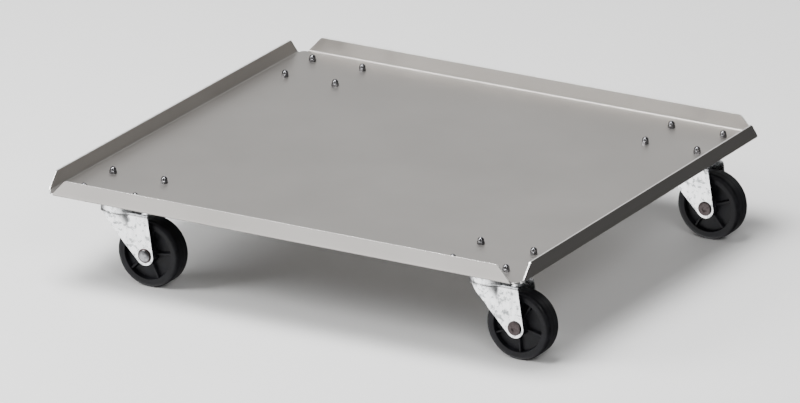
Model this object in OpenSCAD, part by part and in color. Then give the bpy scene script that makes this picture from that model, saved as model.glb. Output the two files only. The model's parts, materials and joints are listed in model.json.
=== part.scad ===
// Drum dolly: a square tray folded from one sheet, carried by four plate-type swivel casters.
// The origin is the centre of the tray floor's top face, with +X to the right, +Y to the back
// and +Z up. At rest every caster trails towards +X, with its axle along Y.

/* [Tray] */
// Outside length of the tray along X
tray_length = 610; // [480:1:800]
// Outside length of the tray along Y
tray_width = 610; // [480:1:800]
// Thickness of the folded sheet
sheet_t = 2; // [1.5:0.1:3]
// Height of the four lips above the floor
lip_height = 19; // [12:0.5:40]
// Inside radius of the fold at the foot of each lip
fold_r = 2; // [1:0.5:4]
// Distance from the tray's corner to the foot of a lip's end
lip_foot_inset = 11; // [8:0.5:20]
// Distance from the tray's corner to the top of a lip's slanted end
lip_top_inset = 28; // [20:0.5:60]
// Depth of the coined seat around each bolt hole in the floor
seat_depth = 0.2; // [0.1:0.05:0.5]

/* [Casters] */
// Distance from the tray's sides to each swivel axis
caster_inset = 67.5; // [60:0.5:110]
// Centre distance of the four caster bolts, along both X and Y
bolt_spacing = 67; // [60:0.5:75]
// Distance from a bolt's axis to the edge of the top plate
plate_margin = 12.5; // [9:0.5:16]
// Thickness of the top plate
plate_t = 2.5; // [2:0.1:4]
// Horizontal distance from the swivel axis to the axle
trail = 38.8; // [32:0.1:48]

/* [Wheels] */
// Diameter of the wheel over its tread
wheel_d = 80; // [66:1:96]
// Width of the wheel over its rim
wheel_w = 26; // [20:0.5:32]
// Rounding of the two edges of the tread
tread_edge_r = 5; // [2:0.5:6]
// Radial depth of the rim, from the tread to the recess in the wheel's side
rim_depth = 9.5; // [6:0.5:12]
// Depth of the recess in each side of the wheel
recess_depth = 6; // [3:0.5:8]
// Number of radial ribs in each recess
rib_count = 5; // [3:1:8]
// Thickness of a rib
rib_t = 3; // [2:0.5:5]
// Step from the rim's side down to the ribs
rib_step = 1.5; // [0.5:0.5:2.5]
// Radius of the wheel's hub
hub_r = 11.5; // [10:0.5:14]
// How far the hub stands out past the rim on each side
hub_stand = 3; // [1:0.5:5]

/* [Fork] */
// Thickness of the fork's pressed steel
fork_t = 2.2; // [1.8:0.1:3]
// Thickness of the wall around the balls above the crown
race_wall_t = 2.5; // [2:0.1:4]
// Height of the skirt that hangs from the crown
skirt_h = 4; // [3:0.5:10]
// Gap between the top of the wheel and the crown's underside
wheel_clearance = 5.5; // [4:0.5:10]
// Radius of the round foot of each leg
foot_r = 10.8; // [9.5:0.1:12]
// How far the middle of the foot's round lies below the axle
foot_drop = 0.9; // [0:0.1:2]
// Length of the web behind the swivel axis
web_length = 30; // [26:0.5:36]
// How far the knee of the leading edge lies ahead of the axle
knee_reach = 34; // [28:0.5:36]
// How far the knee of the leading edge lies above the axle
knee_rise = 18.5; // [12:0.5:24]
// How far the rear edge of a leg lies behind the axle at its top
rear_reach = 2.4; // [0:0.1:6]

/* [Swivel head] */
// Depth of the dish that is pressed into the top plate
dish_depth = 13; // [10:0.5:15]
// Diameter of the balls above the crown
upper_ball_d = 6.4; // [5:0.1:7]
// Number of balls above the crown
upper_ball_count = 18; // [8:1:18]
// Radius of the ring of balls above the crown
upper_ring_r = 20; // [19.5:0.1:20.5]
// Diameter of the balls under the crown
lower_ball_d = 4.8; // [4:0.1:5.5]
// Number of balls under the crown
lower_ball_count = 13; // [8:1:13]
// Radius of the ring of balls under the crown
lower_ring_r = 11; // [10.5:0.1:11.5]
// Depth of each groove that the balls run in
groove_depth = 0.5; // [0.3:0.1:0.8]
// Thickness of the race cup under the crown
cup_t = 2.5; // [2:0.1:3]
// Diameter of the kingpin's shank
kingpin_d = 10; // [8:0.5:12]
// Height of the kingpin's two heads
kingpin_head_h = 3; // [2:0.5:4]

/* [Axle] */
// Diameter of the axle rivet's shank
axle_d = 8; // [6:0.5:9]
// Diameter of the axle rivet's two heads
axle_head_d = 17.4; // [15:0.1:18]
// Height of the domed head
dome_h = 2.8; // [2:0.1:4]
// Height of the flat, rolled-over end
flat_end_h = 2; // [1.5:0.1:3]
// Wall of the spacer sleeve that the wheel turns on
sleeve_wall = 2; // [1.5:0.1:2.5]
// Thickness of the side washers between the hub and the fork
side_washer_t = 1.4; // [1:0.1:2]
// Radial thickness of the side washers
side_washer_ring = 3.2; // [2.5:0.1:4]

/* [Fasteners] */
// Diameter of the caster bolts
bolt_d = 5; // [4:0.5:5]
// Width of the bolt heads and cap nuts across their flats
across_flats = 8; // [7:0.1:8.5]
// Height of a bolt's head
bolt_head_h = 3.5; // [3:0.1:5]
// Height of a cap nut's hexagon
nut_hex_h = 3.6; // [3.4:0.1:6]
// Total height of a cap nut
nut_h = 8.5; // [8.3:0.1:11]
// Outside diameter of the washers under the bolt heads
washer_d = 10; // [9:0.1:12]
// Thickness of the washers under the bolt heads
washer_t = 1; // [0.8:0.1:1.6]

/* [Clearances] */
// Radial clearance of the wheel's bore on its sleeve, and of the rivet in its holes
running_gap = 0.05; // [0.02:0.01:0.1]
// Radial gap around every ball
ball_gap = 0.05; // [0.03:0.01:0.1]
// Radial clearance of the bolts in their holes
hole_gap = 0.25; // [0.15:0.05:0.5]
// Gap between parts that must pass each other freely
free_gap = 0.5; // [0.4:0.1:1]

/* [Hidden] */
CORNERS = ["front_left", "front_right", "back_left", "back_right"];
PIECES = [
    "top_plate", "kingpin", "upper_balls", "lower_balls", "race_cup", "fork", "axle",
    "sleeve", "side_washers", "wheel", "bolts", "washers", "cap_nuts"
];
$fn = 72;

// Overlap that keeps cuts clean
cut = 1;
half_length = tray_length / 2;
half_width = tray_width / 2;
fold_out_r = fold_r + sheet_t;
floor_corner_r = max(lip_foot_inset - fold_out_r, 1);
bolt_hole_r = bolt_d / 2 + hole_gap;
nut_corner_r = across_flats / (2 * cos(30));
seat_r = nut_corner_r + free_gap;

// Heights, all measured from the tray floor's top face
plate_top = -sheet_t;
plate_under = plate_top - plate_t;
dish_under = plate_under - dish_depth;
dish_top = dish_under + plate_t;
upper_ball_r = upper_ball_d / 2;
upper_ball_z = dish_under + groove_depth - upper_ball_r;
crown_top = upper_ball_z - upper_ball_r + groove_depth;
crown_under = crown_top - plate_t;
lower_ball_r = lower_ball_d / 2;
lower_ball_z = crown_under + groove_depth - lower_ball_r;
cup_top = lower_ball_z - lower_ball_r + groove_depth;
cup_under = cup_top - cup_t;
wheel_r = wheel_d / 2;
axle_z = crown_under - wheel_clearance - wheel_r;

// Swivel head; the wall around the upper balls stops where the dish comes within free_gap of it
race_in_r = upper_ring_r + upper_ball_r + free_gap + 6 * ball_gap;
crown_r = race_in_r + race_wall_t;
dish_r = upper_ring_r + upper_ball_r - free_gap;
dish_rim_r = crown_r;
race_top = dish_under + dish_depth * (race_in_r - free_gap - dish_r) / (dish_rim_r - dish_r);
kingpin_r = kingpin_d / 2;
kingpin_head_r = kingpin_r + 3.5;
crown_hole_r = kingpin_r + 2 * free_gap;
cup_r = lower_ring_r + lower_ball_r + free_gap + cup_t / 2;
cup_lip_top = crown_under - 2 * free_gap;

// Wheel, axle and the fork's two legs
hub_half = wheel_w / 2 + hub_stand;
leg_in = hub_half + free_gap + side_washer_t;
leg_out = leg_in + fork_t;
axle_r = axle_d / 2;
axle_hole_r = axle_r + running_gap;
sleeve_r = axle_hole_r + sleeve_wall;
bore_r = sleeve_r + running_gap;
side_washer_in_r = sleeve_r + running_gap;
lead_reach = sqrt(crown_r * crown_r - leg_out * leg_out);
axle_at = [trail, axle_z];

ZINC = [0.86, 0.87, 0.88];
DARK_ZINC = [0.45, 0.45, 0.46];
CHROME = [0.7, 0.71, 0.73];
BLACK_PLASTIC = [0.06, 0.06, 0.07];
SHEET_STEEL = [0.64, 0.63, 0.61];

// Where a tangent from point p touches the circle of radius r at centre c; side is 1 or -1
function tangent_point(p, c, r, side) =
    let (
        reach = norm(p - c),
        angle = atan2(p[1] - c[1], p[0] - c[0]) + side * acos(r / reach)
    )
    c + r * [cos(angle), sin(angle)];

// Swivel axis of each caster, in the order of CORNERS
function corner_at(corner) =
    let (
        right = corner == "front_right" || corner == "back_right",
        back = corner == "back_left" || corner == "back_right"
    )
    [
        (right ? 1 : -1) * (half_length - caster_inset),
        (back ? 1 : -1) * (half_width - caster_inset),
        0
    ];

module at_bolts() {
    for (x = [-1, 1], y = [-1, 1])
        translate([x * bolt_spacing / 2, y * bolt_spacing / 2, 0])
            children();
}

// A rectangle centred on the origin, with round corners
module rounded_rectangle(length, width, r) {
    square([length - 2 * r, width], center = true);
    square([length, width - 2 * r], center = true);
    for (x = [-1, 1], y = [-1, 1])
        translate([x * (length / 2 - r), y * (width / 2 - r)])
            circle(r);
}

module ring(inner_r, outer_r, low, high) {
    translate([0, 0, low])
        difference() {
            cylinder(r = outer_r, h = high - low);
            translate([0, 0, -cut])
                cylinder(r = inner_r, h = high - low + 2 * cut);
        }
}

// The round groove that a ring of balls runs in
module ball_groove(ring_r, ball_r, z) {
    translate([0, 0, z])
        rotate_extrude()
            translate([ring_r, 0])
                circle(ball_r + ball_gap);
}

// One lip with its fold, running along X at the front of a tray side of the given half depth
module lip(half_run, half_depth) {
    intersection() {
        translate([-half_run, -half_depth + fold_out_r, fold_r])
            rotate([90, 0, 90])
                linear_extrude(2 * half_run)
                    lip_section();
        translate([0, -half_depth + fold_out_r + cut, 0])
            rotate([90, 0, 0])
                linear_extrude(fold_out_r + 2 * cut)
                    lip_face(half_run);
    }
}

// Section of a lip from the centre of its fold: a quarter round, then a flat wall
module lip_section() {
    intersection() {
        difference() {
            circle(fold_out_r);
            circle(fold_r);
        }
        translate([-fold_out_r, -fold_out_r])
            square(fold_out_r);
    }
    translate([-fold_out_r, 0])
        square([sheet_t, lip_height - fold_r]);
}

// Outline of a lip seen from its side, with slanted ends
module lip_face(half_run) {
    foot = half_run - lip_foot_inset;
    top = half_run - lip_top_inset;
    polygon([
        [-foot, -sheet_t], [foot, -sheet_t], [foot, 0],
        [top, lip_height], [-top, lip_height], [-foot, 0]
    ]);
}

module tray() {
    color(SHEET_STEEL)
        difference() {
            union() {
                translate([0, 0, -sheet_t])
                    linear_extrude(sheet_t)
                        rounded_rectangle(
                            tray_length - 2 * fold_out_r,
                            tray_width - 2 * fold_out_r,
                            floor_corner_r
                        );
                for (turn = [0, 180])
                    rotate([0, 0, turn])
                        lip(half_length, half_width);
                for (turn = [90, 270])
                    rotate([0, 0, turn])
                        lip(half_width, half_length);
            }
            for (corner = CORNERS)
                translate(corner_at(corner))
                    at_bolts() {
                        translate([0, 0, -sheet_t - cut])
                            cylinder(r = bolt_hole_r, h = sheet_t + 2 * cut);
                        translate([0, 0, -seat_depth])
                            cylinder(r = seat_r, h = seat_depth + cut);
                    }
        }
}

// Square plate with a dish pressed down in its middle, whose floor carries the upper race
module top_plate() {
    size = bolt_spacing + 2 * plate_margin;
    color(ZINC)
        difference() {
            union() {
                translate([0, 0, plate_under])
                    linear_extrude(plate_t)
                        rounded_rectangle(size, size, plate_margin - bolt_d / 2);
                translate([0, 0, dish_under])
                    cylinder(r1 = dish_r, r2 = dish_rim_r, h = dish_depth);
            }
            translate([0, 0, dish_top])
                cylinder(r1 = dish_r - plate_t, r2 = dish_rim_r - plate_t, h = dish_depth);
            translate([0, 0, plate_top])
                cylinder(r = dish_rim_r, h = cut);
            translate([0, 0, dish_under - cut])
                cylinder(r = kingpin_r + ball_gap, h = plate_t + 2 * cut);
            ball_groove(upper_ring_r, upper_ball_r, upper_ball_z);
            at_bolts()
                translate([0, 0, plate_under - cut])
                    cylinder(r = bolt_hole_r, h = plate_t + 2 * cut);
        }
}

// Rivet that ties the plate, the fork and the race cup together
module kingpin() {
    color(DARK_ZINC) {
        translate([0, 0, cup_under])
            cylinder(r = kingpin_r, h = dish_top - cup_under);
        translate([0, 0, dish_top])
            cylinder(r1 = kingpin_head_r, r2 = kingpin_head_r - 1, h = kingpin_head_h);
        translate([0, 0, cup_under - kingpin_head_h])
            cylinder(r1 = kingpin_head_r - 2, r2 = kingpin_head_r, h = kingpin_head_h);
    }
}

module ball_ring(count, ring_r, ball_r, z) {
    color(CHROME)
        for (i = [0 : count - 1])
            rotate([0, 0, i * 360 / count])
                translate([ring_r, 0, z])
                    sphere(ball_r, $fn = 24);
}

module upper_balls() {
    ball_ring(upper_ball_count, upper_ring_r, upper_ball_r, upper_ball_z);
}

module lower_balls() {
    ball_ring(lower_ball_count, lower_ring_r, lower_ball_r, lower_ball_z);
}

// Cup that holds the lower balls against the crown
module race_cup() {
    color(ZINC)
        difference() {
            union() {
                ring(kingpin_r + ball_gap, cup_r, cup_under, cup_top);
                ring(cup_r - cup_t / 2, cup_r, cup_top, cup_lip_top);
            }
            ball_groove(lower_ring_r, lower_ball_r, lower_ball_z);
        }
}

// Outline of a leg in the XZ plane: a round foot, a slanted leading edge and a steep rear edge
module leg_face() {
    lead_top = [-lead_reach, crown_top];
    knee = axle_at + [-knee_reach, knee_rise];
    rear_top = [trail + rear_reach, crown_top];
    foot = axle_at - [0, foot_drop];
    polygon([
        lead_top, knee,
        tangent_point(knee, foot, foot_r, 1),
        foot,
        tangent_point(rear_top, foot, foot_r, -1),
        rear_top
    ]);
    translate(foot)
        circle(foot_r);
}

module leg(side) {
    translate([0, side > 0 ? leg_out : -leg_in, 0])
        rotate([90, 0, 0])
            linear_extrude(fork_t)
                leg_face();
}

// The space inside the fork that the wheel and its hub turn in
module wheel_slot() {
    slot_front = -sqrt(race_in_r * race_in_r - leg_in * leg_in);
    translate([slot_front, -leg_in, axle_z - wheel_r])
        cube([trail + wheel_r - slot_front + cut, 2 * leg_in, crown_under - axle_z + wheel_r]);
}

// Fork: a round crown with a skirt and a ball race, a web behind it and two tapered legs
module fork() {
    color(ZINC)
        difference() {
            union() {
                translate([0, 0, crown_under])
                    cylinder(r = crown_r, h = plate_t);
                translate([0, -leg_out, crown_under])
                    cube([web_length, 2 * leg_out, plate_t]);
                ring(race_in_r, crown_r, crown_top, race_top);
                difference() {
                    ring(race_in_r, crown_r, crown_top - skirt_h, crown_under);
                    wheel_slot();
                }
                leg(1);
                leg(-1);
            }
            translate([0, 0, crown_under - cut])
                cylinder(r = crown_hole_r, h = plate_t + 2 * cut);
            ball_groove(upper_ring_r, upper_ball_r, upper_ball_z);
            ball_groove(lower_ring_r, lower_ball_r, lower_ball_z);
            translate([trail, leg_out + cut, axle_z])
                rotate([90, 0, 0])
                    cylinder(r = axle_hole_r, h = 2 * (leg_out + cut));
        }
}

// A cylinder along Y, centred on the axle
module on_axle(r, half) {
    translate([trail, half, axle_z])
        rotate([90, 0, 0])
            cylinder(r = r, h = 2 * half);
}

// Low dome that stands on the XY plane
module dome(r, h) {
    dome_r = (r * r + h * h) / (2 * h);
    intersection() {
        translate([0, 0, h - dome_r])
            sphere(dome_r);
        cylinder(r = r, h = h);
    }
}

// Axle rivet with a domed head at one end and a flat, rolled-over one at the other
module axle(dome_in_front) {
    head_r = axle_head_d / 2;
    front = dome_in_front ? 90 : -90;
    color(CHROME) {
        on_axle(axle_r, leg_out);
        translate([trail, 0, axle_z]) {
            rotate([front, 0, 0])
                translate([0, 0, leg_out])
                    dome(head_r, dome_h);
            rotate([-front, 0, 0])
                translate([0, 0, leg_out])
                    cylinder(r1 = head_r, r2 = head_r - flat_end_h / 2, h = flat_end_h);
        }
    }
}

// Spacer tube on the rivet, clamped between the legs
module sleeve() {
    color(DARK_ZINC)
        difference() {
            on_axle(sleeve_r, leg_in);
            on_axle(axle_r + running_gap, leg_in + cut);
        }
}

module side_washers() {
    color(DARK_ZINC)
        for (side = [-1, 1])
            translate([trail, side * (leg_in - side_washer_t / 2), axle_z])
                rotate([90, 0, 0])
                    ring(
                        side_washer_in_r, side_washer_in_r + side_washer_ring,
                        -side_washer_t / 2, side_washer_t / 2
                    );
}

// Half of the wheel's section: the radius is along X and the width is along Y
module wheel_section() {
    rim_in = wheel_r - rim_depth;
    half_w = wheel_w / 2;
    edge_at = [wheel_r - tread_edge_r, half_w - tread_edge_r];
    translate([rim_in, -half_w])
        square([edge_at[0] - rim_in, wheel_w]);
    translate([rim_in, -edge_at[1]])
        square([rim_depth, 2 * edge_at[1]]);
    for (side = [-1, 1])
        translate([edge_at[0], side * edge_at[1]])
            circle(tread_edge_r);
    translate([bore_r, recess_depth - half_w])
        square([rim_in - bore_r + cut, wheel_w - 2 * recess_depth]);
    translate([bore_r, -hub_half])
        square([hub_r - bore_r, 2 * hub_half]);
}

module wheel() {
    rib_in = hub_r - cut;
    rib_half = wheel_w / 2 - rib_step;
    color(BLACK_PLASTIC)
        translate([trail, 0, axle_z])
            rotate([90, 0, 0]) {
                rotate_extrude()
                    wheel_section();
                for (i = [0 : rib_count - 1])
                    rotate([0, 0, -90 + i * 360 / rib_count])
                        translate([rib_in, -rib_t / 2, -rib_half])
                            cube([wheel_r - rim_depth + cut - rib_in, rib_t, 2 * rib_half]);
            }
}

// Hexagon prism with chamfered corners at its far end
module hexagon(h) {
    intersection() {
        cylinder(r = nut_corner_r, h = h, $fn = 6);
        cylinder(r1 = across_flats / 2 + h * tan(60), r2 = across_flats / 2, h = h);
    }
}

module bolts() {
    tip = -seat_depth + nut_hex_h + (nut_h - nut_hex_h) / 4;
    head_top = plate_under - washer_t;
    color(DARK_ZINC)
        at_bolts() {
            translate([0, 0, head_top])
                cylinder(r = bolt_d / 2, h = tip - head_top);
            translate([0, 0, head_top])
                mirror([0, 0, 1])
                    hexagon(bolt_head_h);
        }
}

module washers() {
    color(ZINC)
        at_bolts()
            ring(bolt_hole_r, washer_d / 2, plate_under - washer_t, plate_under);
}

// Cap nuts: a hexagon and a dome around a blind hole
module cap_nuts() {
    dome_r = across_flats / 2 - 0.2;
    blind = nut_hex_h + (nut_h - nut_hex_h) / 3;
    color(CHROME)
        at_bolts()
            translate([0, 0, -seat_depth])
                difference() {
                    union() {
                        hexagon(nut_hex_h);
                        cylinder(r = dome_r, h = nut_h - dome_r);
                        translate([0, 0, nut_h - dome_r])
                            sphere(dome_r);
                    }
                    translate([0, 0, -cut])
                        cylinder(r = bolt_d / 2 + running_gap, h = blind + cut);
                }
}

// The piece of that name, on the caster at that corner
module caster_piece(corner, piece) {
    translate(corner_at(corner)) {
        if (piece == "top_plate") top_plate();
        if (piece == "kingpin") kingpin();
        if (piece == "upper_balls") upper_balls();
        if (piece == "lower_balls") lower_balls();
        if (piece == "race_cup") race_cup();
        if (piece == "fork") fork();
        if (piece == "axle") axle(corner == "front_left" || corner == "back_left");
        if (piece == "sleeve") sleeve();
        if (piece == "side_washers") side_washers();
        if (piece == "wheel") wheel();
        if (piece == "bolts") bolts();
        if (piece == "washers") washers();
        if (piece == "cap_nuts") cap_nuts();
    }
}

tray();
for (corner = CORNERS, piece = PIECES)
    caster_piece(corner, piece);
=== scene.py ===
"""Looks of a drum dolly: a folded sheet-steel tray on four zinc-plated swivel casters.

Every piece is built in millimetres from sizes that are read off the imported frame, as surfaces over
two parameters, and is placed by its own vertices in the frame's metres.
"""

import json
import logging
import math
from dataclasses import dataclass, field
from enum import Enum

import bmesh
import bpy
import numpy as np
from mathutils import Matrix, Vector


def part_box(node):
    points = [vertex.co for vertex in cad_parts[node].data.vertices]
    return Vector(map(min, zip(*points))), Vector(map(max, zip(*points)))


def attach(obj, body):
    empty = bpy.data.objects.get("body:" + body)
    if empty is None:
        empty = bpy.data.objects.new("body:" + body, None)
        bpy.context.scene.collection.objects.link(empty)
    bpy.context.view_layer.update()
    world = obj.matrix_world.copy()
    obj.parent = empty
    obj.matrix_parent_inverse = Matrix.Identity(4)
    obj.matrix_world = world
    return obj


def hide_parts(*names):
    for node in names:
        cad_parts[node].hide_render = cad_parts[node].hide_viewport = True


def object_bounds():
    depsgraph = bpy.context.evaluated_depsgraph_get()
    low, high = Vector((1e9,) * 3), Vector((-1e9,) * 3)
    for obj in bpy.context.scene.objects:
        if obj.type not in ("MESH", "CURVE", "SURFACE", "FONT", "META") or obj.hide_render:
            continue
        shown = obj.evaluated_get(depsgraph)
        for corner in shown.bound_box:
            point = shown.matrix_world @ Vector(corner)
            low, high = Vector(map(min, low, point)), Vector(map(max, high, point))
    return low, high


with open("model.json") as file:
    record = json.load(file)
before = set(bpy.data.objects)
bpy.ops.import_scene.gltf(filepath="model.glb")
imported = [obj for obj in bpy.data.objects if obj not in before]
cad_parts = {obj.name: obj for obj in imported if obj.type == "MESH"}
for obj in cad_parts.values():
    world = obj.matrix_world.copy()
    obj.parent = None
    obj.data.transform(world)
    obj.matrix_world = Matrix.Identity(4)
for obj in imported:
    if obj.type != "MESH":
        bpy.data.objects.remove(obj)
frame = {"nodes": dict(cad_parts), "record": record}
cad_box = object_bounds()

LOG = logging.getLogger("drum_dolly")
MM = 0.001

Array = np.ndarray


# ---------------------------------------------------------------------------------------------
# Reading the frame
# ---------------------------------------------------------------------------------------------


@dataclass(frozen=True)
class Span:
    """Box of a CAD node, in millimetres."""

    low: Array
    high: Array

    @classmethod
    def of(cls, node: str) -> "Span":
        """Box of the node of that name."""
        low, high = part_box(node)
        return cls(np.array(low) / MM, np.array(high) / MM)

    @property
    def size(self) -> Array:
        """Length of the box along each axis."""
        return self.high - self.low


def joint_place(name: str) -> Array:
    """Point on a joint's axis, in millimetres.

    Args:
        name: The joint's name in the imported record.

    Returns:
        The point as an array of three numbers.
    """
    joints = frame["record"]["behaviour"]["joints"]
    place = next(joint["pos_m"] for joint in joints if joint["name"] == name)
    return np.array(place, float) / MM


class Corner(Enum):
    """The four corners of the tray, by the names that the frame gives them."""

    FRONT_LEFT = "front_left"
    FRONT_RIGHT = "front_right"
    BACK_LEFT = "back_left"
    BACK_RIGHT = "back_right"

    @property
    def dome_in_front(self) -> bool:
        """True where the axle rivet's domed head faces the front."""
        return self in (Corner.FRONT_LEFT, Corner.BACK_LEFT)

    @property
    def roll(self) -> float:
        """Angle of the first rib of this corner's wheel, in degrees from +X towards +Z."""
        angles = {
            Corner.FRONT_LEFT: -64.0,
            Corner.FRONT_RIGHT: -84.0,
            Corner.BACK_LEFT: -30.0,
            Corner.BACK_RIGHT: -50.0,
        }
        return angles[self]


# ---------------------------------------------------------------------------------------------
# Surfaces
# ---------------------------------------------------------------------------------------------


def ease(value: Array) -> Array:
    """Smooth step from 0 to 1 as the value goes from 0 to 1: three squares less two cubes."""
    t = np.clip(value, 0.0, 1.0)
    return t * t * (3.0 - 2.0 * t)


def rounded_path(corners: list[tuple[float, float, float]], arc_steps: int = 5) -> Array:
    """Path through corner points, with each inner corner turned into an arc.

    The arc touches both stretches at radius / tan(half the corner's angle) from the corner.

    Args:
        corners: Points as (x, y, radius); the first and last are kept as they are.
        arc_steps: Number of steps along each arc.

    Returns:
        The path's points, as rows of two numbers.
    """
    points = [np.array(corners[0][:2], float)]
    for before, here, after in zip(corners, corners[1:], corners[2:]):
        corner = np.array(here[:2], float)
        back = np.array(before[:2], float) - corner
        ahead = np.array(after[:2], float) - corner
        back, ahead = back / np.linalg.norm(back), ahead / np.linalg.norm(ahead)
        half = math.acos(float(np.clip(back @ ahead, -1.0, 1.0))) / 2
        if here[2] <= 0.0 or half > math.radians(89.0):
            points.append(corner)
            continue
        bisector = (back + ahead) / np.linalg.norm(back + ahead)
        centre = corner + bisector * here[2] / math.sin(half)
        start = corner + back * here[2] / math.tan(half) - centre
        end = corner + ahead * here[2] / math.tan(half) - centre
        sweep = math.pi - 2 * half
        for step in np.linspace(0.0, 1.0, arc_steps + 1):
            weights = np.sin([(1 - step) * sweep, step * sweep]) / math.sin(sweep)
            points.append(centre + weights[0] * start + weights[1] * end)
    points.append(np.array(corners[-1][:2], float))
    return np.array(points)


def revolved(path: Array, steps: int) -> Array:
    """Grid of a path of (radius, height) turned about the Z axis.

    Args:
        path: Rows of radius and height.
        steps: Number of columns around the axis.

    Returns:
        Points as an array of (rows, steps, 3).
    """
    turn = np.linspace(0.0, 2 * math.pi, steps, endpoint=False)
    radius, height = path[:, 0][:, None], path[:, 1][:, None]
    return np.stack(
        [radius * np.cos(turn), radius * np.sin(turn), np.broadcast_to(height, (len(path), steps))], -1
    )


def onto_axle(grid: Array) -> Array:
    """Turn points about X so that their +Z becomes the front, -Y."""
    return np.stack([grid[..., 0], -grid[..., 2], grid[..., 1]], -1)


def turned_round(grid: Array) -> Array:
    """Turn points half a turn about Z."""
    return grid * np.array([-1.0, -1.0, 1.0])


@dataclass
class Skin:
    """Points and faces of one piece, gathered surface by surface, in millimetres."""

    points: list[Array] = field(default_factory=list)
    quads: list[Array] = field(default_factory=list)
    tags: list[Array] = field(default_factory=list)
    count: int = 0

    def add(self, grid: Array, wrap: bool = False, flip: bool = False, tag: int = 0) -> "Skin":
        """Add a grid of points and the quads between its neighbours.

        Args:
            grid: Points as (rows, columns, 3).
            wrap: Join the last column to the first.
            flip: Turn the faces the other way round.
            tag: Index of the material slot that these faces take.

        Returns:
            This skin, so that calls can be chained.
        """
        rows, columns = grid.shape[:2]
        index = np.arange(rows * columns).reshape(rows, columns) + self.count
        if wrap:
            index = np.concatenate([index, index[:, :1]], axis=1)
        corners = [index[:-1, :-1], index[:-1, 1:], index[1:, 1:], index[1:, :-1]]
        quads = np.stack(corners, -1).reshape(-1, 4)
        self.points.append(grid.reshape(-1, 3))
        self.quads.append(quads[:, ::-1] if flip else quads)
        self.tags.append(np.full(len(quads), tag))
        self.count += rows * columns
        return self

    def build(self, name: str, at: Array, closed: bool = True) -> bpy.types.Object:
        """Make the piece's object, with its place in its mesh.

        Args:
            name: Name of the piece.
            at: Where the skin's own origin goes in the frame, in millimetres.
            closed: True if the surfaces close, so that faces can be turned outwards.

        Returns:
            The new object, linked to the scene.
        """
        mesh = bpy.data.meshes.new(name)
        points = (np.concatenate(self.points) + at) * MM
        quads = np.concatenate(self.quads)
        mesh.from_pydata(points.tolist(), [], quads.tolist())
        mesh.polygons.foreach_set("material_index", np.concatenate(self.tags).astype(np.int32))
        shape = bmesh.new()
        shape.from_mesh(mesh)
        bmesh.ops.remove_doubles(shape, verts=shape.verts, dist=2e-6)
        bmesh.ops.dissolve_degenerate(shape, edges=shape.edges, dist=1e-6)
        if closed:
            bmesh.ops.recalc_face_normals(shape, faces=shape.faces)
            if shape.calc_volume(signed=True) < 0.0:
                bmesh.ops.reverse_faces(shape, faces=shape.faces)
        shape.to_mesh(mesh)
        shape.free()
        piece = bpy.data.objects.new(name, mesh)
        bpy.context.scene.collection.objects.link(piece)
        return piece


def soften(piece: bpy.types.Object, angle: float = 35.0) -> None:
    """Shade a piece smooth, but keep its edges sharper than the angle, in degrees."""
    piece.data.shade_smooth()
    piece.data.set_sharp_from_angle(angle=math.radians(angle))


def thicken(piece: bpy.types.Object, thickness: float) -> None:
    """Give an open skin a wall behind its faces.

    Args:
        piece: The object to finish.
        thickness: Thickness of the wall, in millimetres.
    """
    wall = piece.modifiers.new("wall", "SOLIDIFY")
    wall.thickness = thickness * MM
    wall.offset = -1.0
    wall.use_even_offset = True


def round_edges(piece: bpy.types.Object, width: float, segments: int = 2, angle: float = 40.0) -> None:
    """Round the edges of a piece that are sharper than the angle.

    Args:
        piece: The object to finish.
        width: Width of the rounding, in millimetres.
        segments: Number of faces across the rounding.
        angle: Least angle between two faces, in degrees.
    """
    bevel = piece.modifiers.new("edges", "BEVEL")
    bevel.width = width * MM
    bevel.segments = segments
    bevel.limit_method = "ANGLE"
    bevel.angle_limit = math.radians(angle)
    bevel.harden_normals = True


# ---------------------------------------------------------------------------------------------
# Finishes
# ---------------------------------------------------------------------------------------------

Colour = tuple[float, float, float]


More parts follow.
